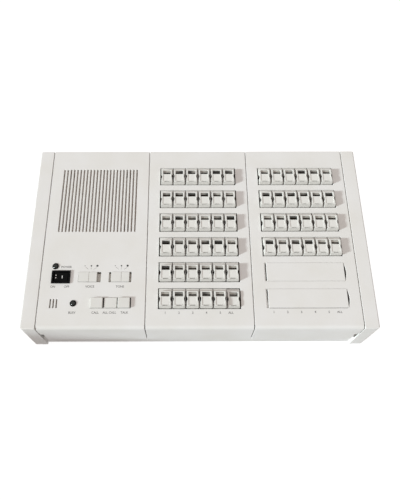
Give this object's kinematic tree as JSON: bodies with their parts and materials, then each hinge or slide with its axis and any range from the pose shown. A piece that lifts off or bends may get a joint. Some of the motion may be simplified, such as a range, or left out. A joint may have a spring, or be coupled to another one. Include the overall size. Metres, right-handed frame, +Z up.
{
  "type": "desk intercom",
  "caption": "Sloping desk intercom master station with a loudspeaker grille, a row of controls and banks of labelled station keys in three top panels between side cheeks.",
  "frame": {"origin": "under the middle of the housing, on the surface that the feet stand on", "axes": "+X along the width to the user's right, +Y to the back, +Z up"},
  "size_m": [0.388, 0.2186, 0.0905],
  "materials": {
    "housing_plastic": "moulded ABS, off-white, fine texture",
    "key_plastic": "moulded ABS, off-white, smooth",
    "black_plastic": "black, semi-gloss",
    "lamp_lens": "dark unlit lens",
    "call_lamp_lens": "dark red unlit lens",
    "switch_plastic": "dark grey moulded",
    "pressed_steel": "plated pressed steel",
    "cone_paper": "black pulp paper",
    "grille_cloth": "grey-brown dust cloth",
    "ferrite_magnet": "dull dark grey",
    "soft_rubber": "matt black rubber",
    "board_laminate": "brown laminate",
    "terminal_plastic": "green moulded",
    "screw_steel": "zinc plated"
  },
  "bodies": {
    "housing": {"base_tray": "housing_plastic", "control_panel": "housing_plastic", "middle_key_panel": "housing_plastic", "right_key_panel": "housing_plastic", "upper_blank_cover": "housing_plastic", "lower_blank_cover": "housing_plastic", "power_switch_housing": "black_plastic", "power_lamp": "lamp_lens", "busy_lamp": "lamp_lens", "lamp_bezels": "black_plastic", "voice_switch_body": "housing_plastic", "tone_switch_body": "housing_plastic", "function_switch_bank": "switch_plastic", "grille_cloth": "grille_cloth", "speaker_basket": "pressed_steel", "speaker_cone": "cone_paper", "speaker_magnet": "ferrite_magnet", "microphone": "pressed_steel", "microphone_boot": "soft_rubber", "control_board": "board_laminate", "main_circuit_board": "board_laminate", "board_components": "black_plastic", "terminal_block": "terminal_plastic", "dc_jack": "black_plastic", "middle_key_board": "board_laminate", "middle_key_switches": "switch_plastic", "middle_call_lamps": "call_lamp_lens", "right_key_board": "board_laminate", "right_key_switches": "switch_plastic", "right_call_lamps": "call_lamp_lens", "rubber_feet": "soft_rubber", "case_screws": "screw_steel", "board_screws": "screw_steel"},
    "power_rocker": {"power_rocker": "black_plastic"},
    "voice_slide_knob": {"voice_slide_knob": "key_plastic"},
    "tone_slide_knob": {"tone_slide_knob": "key_plastic"},
    "call_button": {"call_button": "key_plastic"},
    "all_call_button": {"all_call_button": "key_plastic"},
    "talk_button": {"talk_button": "key_plastic"},
    "middle_keys_row1": {"middle_keys_row1": "key_plastic"},
    "middle_keys_row2": {"middle_keys_row2": "key_plastic"},
    "middle_keys_row3": {"middle_keys_row3": "key_plastic"},
    "middle_keys_row4": {"middle_keys_row4": "key_plastic"},
    "middle_keys_row5": {"middle_keys_row5": "key_plastic"},
    "right_keys_row1": {"right_keys_row1": "key_plastic"},
    "right_keys_row2": {"right_keys_row2": "key_plastic"},
    "right_keys_row3": {"right_keys_row3": "key_plastic"},
    "middle_key_1": {"middle_key_1": "key_plastic"},
    "middle_key_2": {"middle_key_2": "key_plastic"},
    "middle_key_3": {"middle_key_3": "key_plastic"},
    "middle_key_4": {"middle_key_4": "key_plastic"},
    "middle_key_5": {"middle_key_5": "key_plastic"},
    "middle_key_all": {"middle_key_all": "key_plastic"},
    "right_key_1": {"right_key_1": "key_plastic"},
    "right_key_2": {"right_key_2": "key_plastic"},
    "right_key_3": {"right_key_3": "key_plastic"},
    "right_key_4": {"right_key_4": "key_plastic"},
    "right_key_5": {"right_key_5": "key_plastic"},
    "right_key_all": {"right_key_all": "key_plastic"}
  },
  "joints": [
    {"name": "power_rocker_tilt", "type": "hinge", "parent": "housing", "child": "power_rocker", "pos_m": [-0.15453, -0.05141, 0.06591], "axis": [0, -0.9903, -0.1392], "range_deg": [0, 16]},
    {"name": "voice_slide", "type": "slide", "parent": "housing", "child": "voice_slide_knob", "axis": [1, 0, 0], "range_m": [0, 0.0042]},
    {"name": "tone_slide", "type": "slide", "parent": "housing", "child": "tone_slide_knob", "axis": [1, 0, 0], "range_m": [-0.0021, 0.0021]},
    {"name": "call_button_press", "type": "slide", "parent": "housing", "child": "call_button", "axis": [0, 0.1392, -0.9903], "range_m": [0, 0.003], "stiffness_N_per_m": 200, "springref_m": -0.002},
    {"name": "all_call_button_press", "type": "slide", "parent": "housing", "child": "all_call_button", "axis": [0, 0.1392, -0.9903], "range_m": [-0.001, 0.002]},
    {"name": "talk_button_press", "type": "slide", "parent": "housing", "child": "talk_button", "axis": [0, 0.1392, -0.9903], "range_m": [0, 0.003], "stiffness_N_per_m": 200, "springref_m": -0.002},
    {"name": "middle_keys_row1_press", "type": "slide", "parent": "housing", "child": "middle_keys_row1", "axis": [0, 0.1392, -0.9903], "range_m": [0, 0.0035], "stiffness_N_per_m": 1200, "springref_m": -0.002},
    {"name": "middle_keys_row2_press", "type": "slide", "parent": "housing", "child": "middle_keys_row2", "axis": [0, 0.1392, -0.9903], "range_m": [0, 0.0035], "stiffness_N_per_m": 1200, "springref_m": -0.002},
    {"name": "middle_keys_row3_press", "type": "slide", "parent": "housing", "child": "middle_keys_row3", "axis": [0, 0.1392, -0.9903], "range_m": [0, 0.0035], "stiffness_N_per_m": 1200, "springref_m": -0.002},
    {"name": "middle_keys_row4_press", "type": "slide", "parent": "housing", "child": "middle_keys_row4", "axis": [0, 0.1392, -0.9903], "range_m": [0, 0.0035], "stiffness_N_per_m": 1200, "springref_m": -0.002},
    {"name": "middle_keys_row5_press", "type": "slide", "parent": "housing", "child": "middle_keys_row5", "axis": [0, 0.1392, -0.9903], "range_m": [0, 0.0035], "stiffness_N_per_m": 1200, "springref_m": -0.002},
    {"name": "right_keys_row1_press", "type": "slide", "parent": "housing", "child": "right_keys_row1", "axis": [0, 0.1392, -0.9903], "range_m": [0, 0.0035], "stiffness_N_per_m": 1200, "springref_m": -0.002},
    {"name": "right_keys_row2_press", "type": "slide", "parent": "housing", "child": "right_keys_row2", "axis": [0, 0.1392, -0.9903], "range_m": [0, 0.0035], "stiffness_N_per_m": 1200, "springref_m": -0.002},
    {"name": "right_keys_row3_press", "type": "slide", "parent": "housing", "child": "right_keys_row3", "axis": [0, 0.1392, -0.9903], "range_m": [0, 0.0035], "stiffness_N_per_m": 1200, "springref_m": -0.002},
    {"name": "middle_key_1_press", "type": "slide", "parent": "housing", "child": "middle_key_1", "axis": [0, 0.1392, -0.9903], "range_m": [0, 0.0035], "stiffness_N_per_m": 200, "springref_m": -0.002},
    {"name": "middle_key_2_press", "type": "slide", "parent": "housing", "child": "middle_key_2", "axis": [0, 0.1392, -0.9903], "range_m": [0, 0.0035], "stiffness_N_per_m": 200, "springref_m": -0.002},
    {"name": "middle_key_3_press", "type": "slide", "parent": "housing", "child": "middle_key_3", "axis": [0, 0.1392, -0.9903], "range_m": [0, 0.0035], "stiffness_N_per_m": 200, "springref_m": -0.002},
    {"name": "middle_key_4_press", "type": "slide", "parent": "housing", "child": "middle_key_4", "axis": [0, 0.1392, -0.9903], "range_m": [0, 0.0035], "stiffness_N_per_m": 200, "springref_m": -0.002},
    {"name": "middle_key_5_press", "type": "slide", "parent": "housing", "child": "middle_key_5", "axis": [0, 0.1392, -0.9903], "range_m": [0, 0.0035], "stiffness_N_per_m": 200, "springref_m": -0.002},
    {"name": "middle_key_all_press", "type": "slide", "parent": "housing", "child": "middle_key_all", "axis": [0, 0.1392, -0.9903], "range_m": [-0.002, 0.0015]},
    {"name": "right_key_1_press", "type": "slide", "parent": "housing", "child": "right_key_1", "axis": [0, 0.1392, -0.9903], "range_m": [0, 0.0035], "stiffness_N_per_m": 200, "springref_m": -0.002},
    {"name": "right_key_2_press", "type": "slide", "parent": "housing", "child": "right_key_2", "axis": [0, 0.1392, -0.9903], "range_m": [0, 0.0035], "stiffness_N_per_m": 200, "springref_m": -0.002},
    {"name": "right_key_3_press", "type": "slide", "parent": "housing", "child": "right_key_3", "axis": [0, 0.1392, -0.9903], "range_m": [0, 0.0035], "stiffness_N_per_m": 200, "springref_m": -0.002},
    {"name": "right_key_4_press", "type": "slide", "parent": "housing", "child": "right_key_4", "axis": [0, 0.1392, -0.9903], "range_m": [0, 0.0035], "stiffness_N_per_m": 200, "springref_m": -0.002},
    {"name": "right_key_5_press", "type": "slide", "parent": "housing", "child": "right_key_5", "axis": [0, 0.1392, -0.9903], "range_m": [0, 0.0035], "stiffness_N_per_m": 200, "springref_m": -0.002},
    {"name": "right_key_all_press", "type": "slide", "parent": "housing", "child": "right_key_all", "axis": [0, 0.1392, -0.9903], "range_m": [0, 0.0035], "stiffness_N_per_m": 200, "springref_m": -0.002}
  ]
}
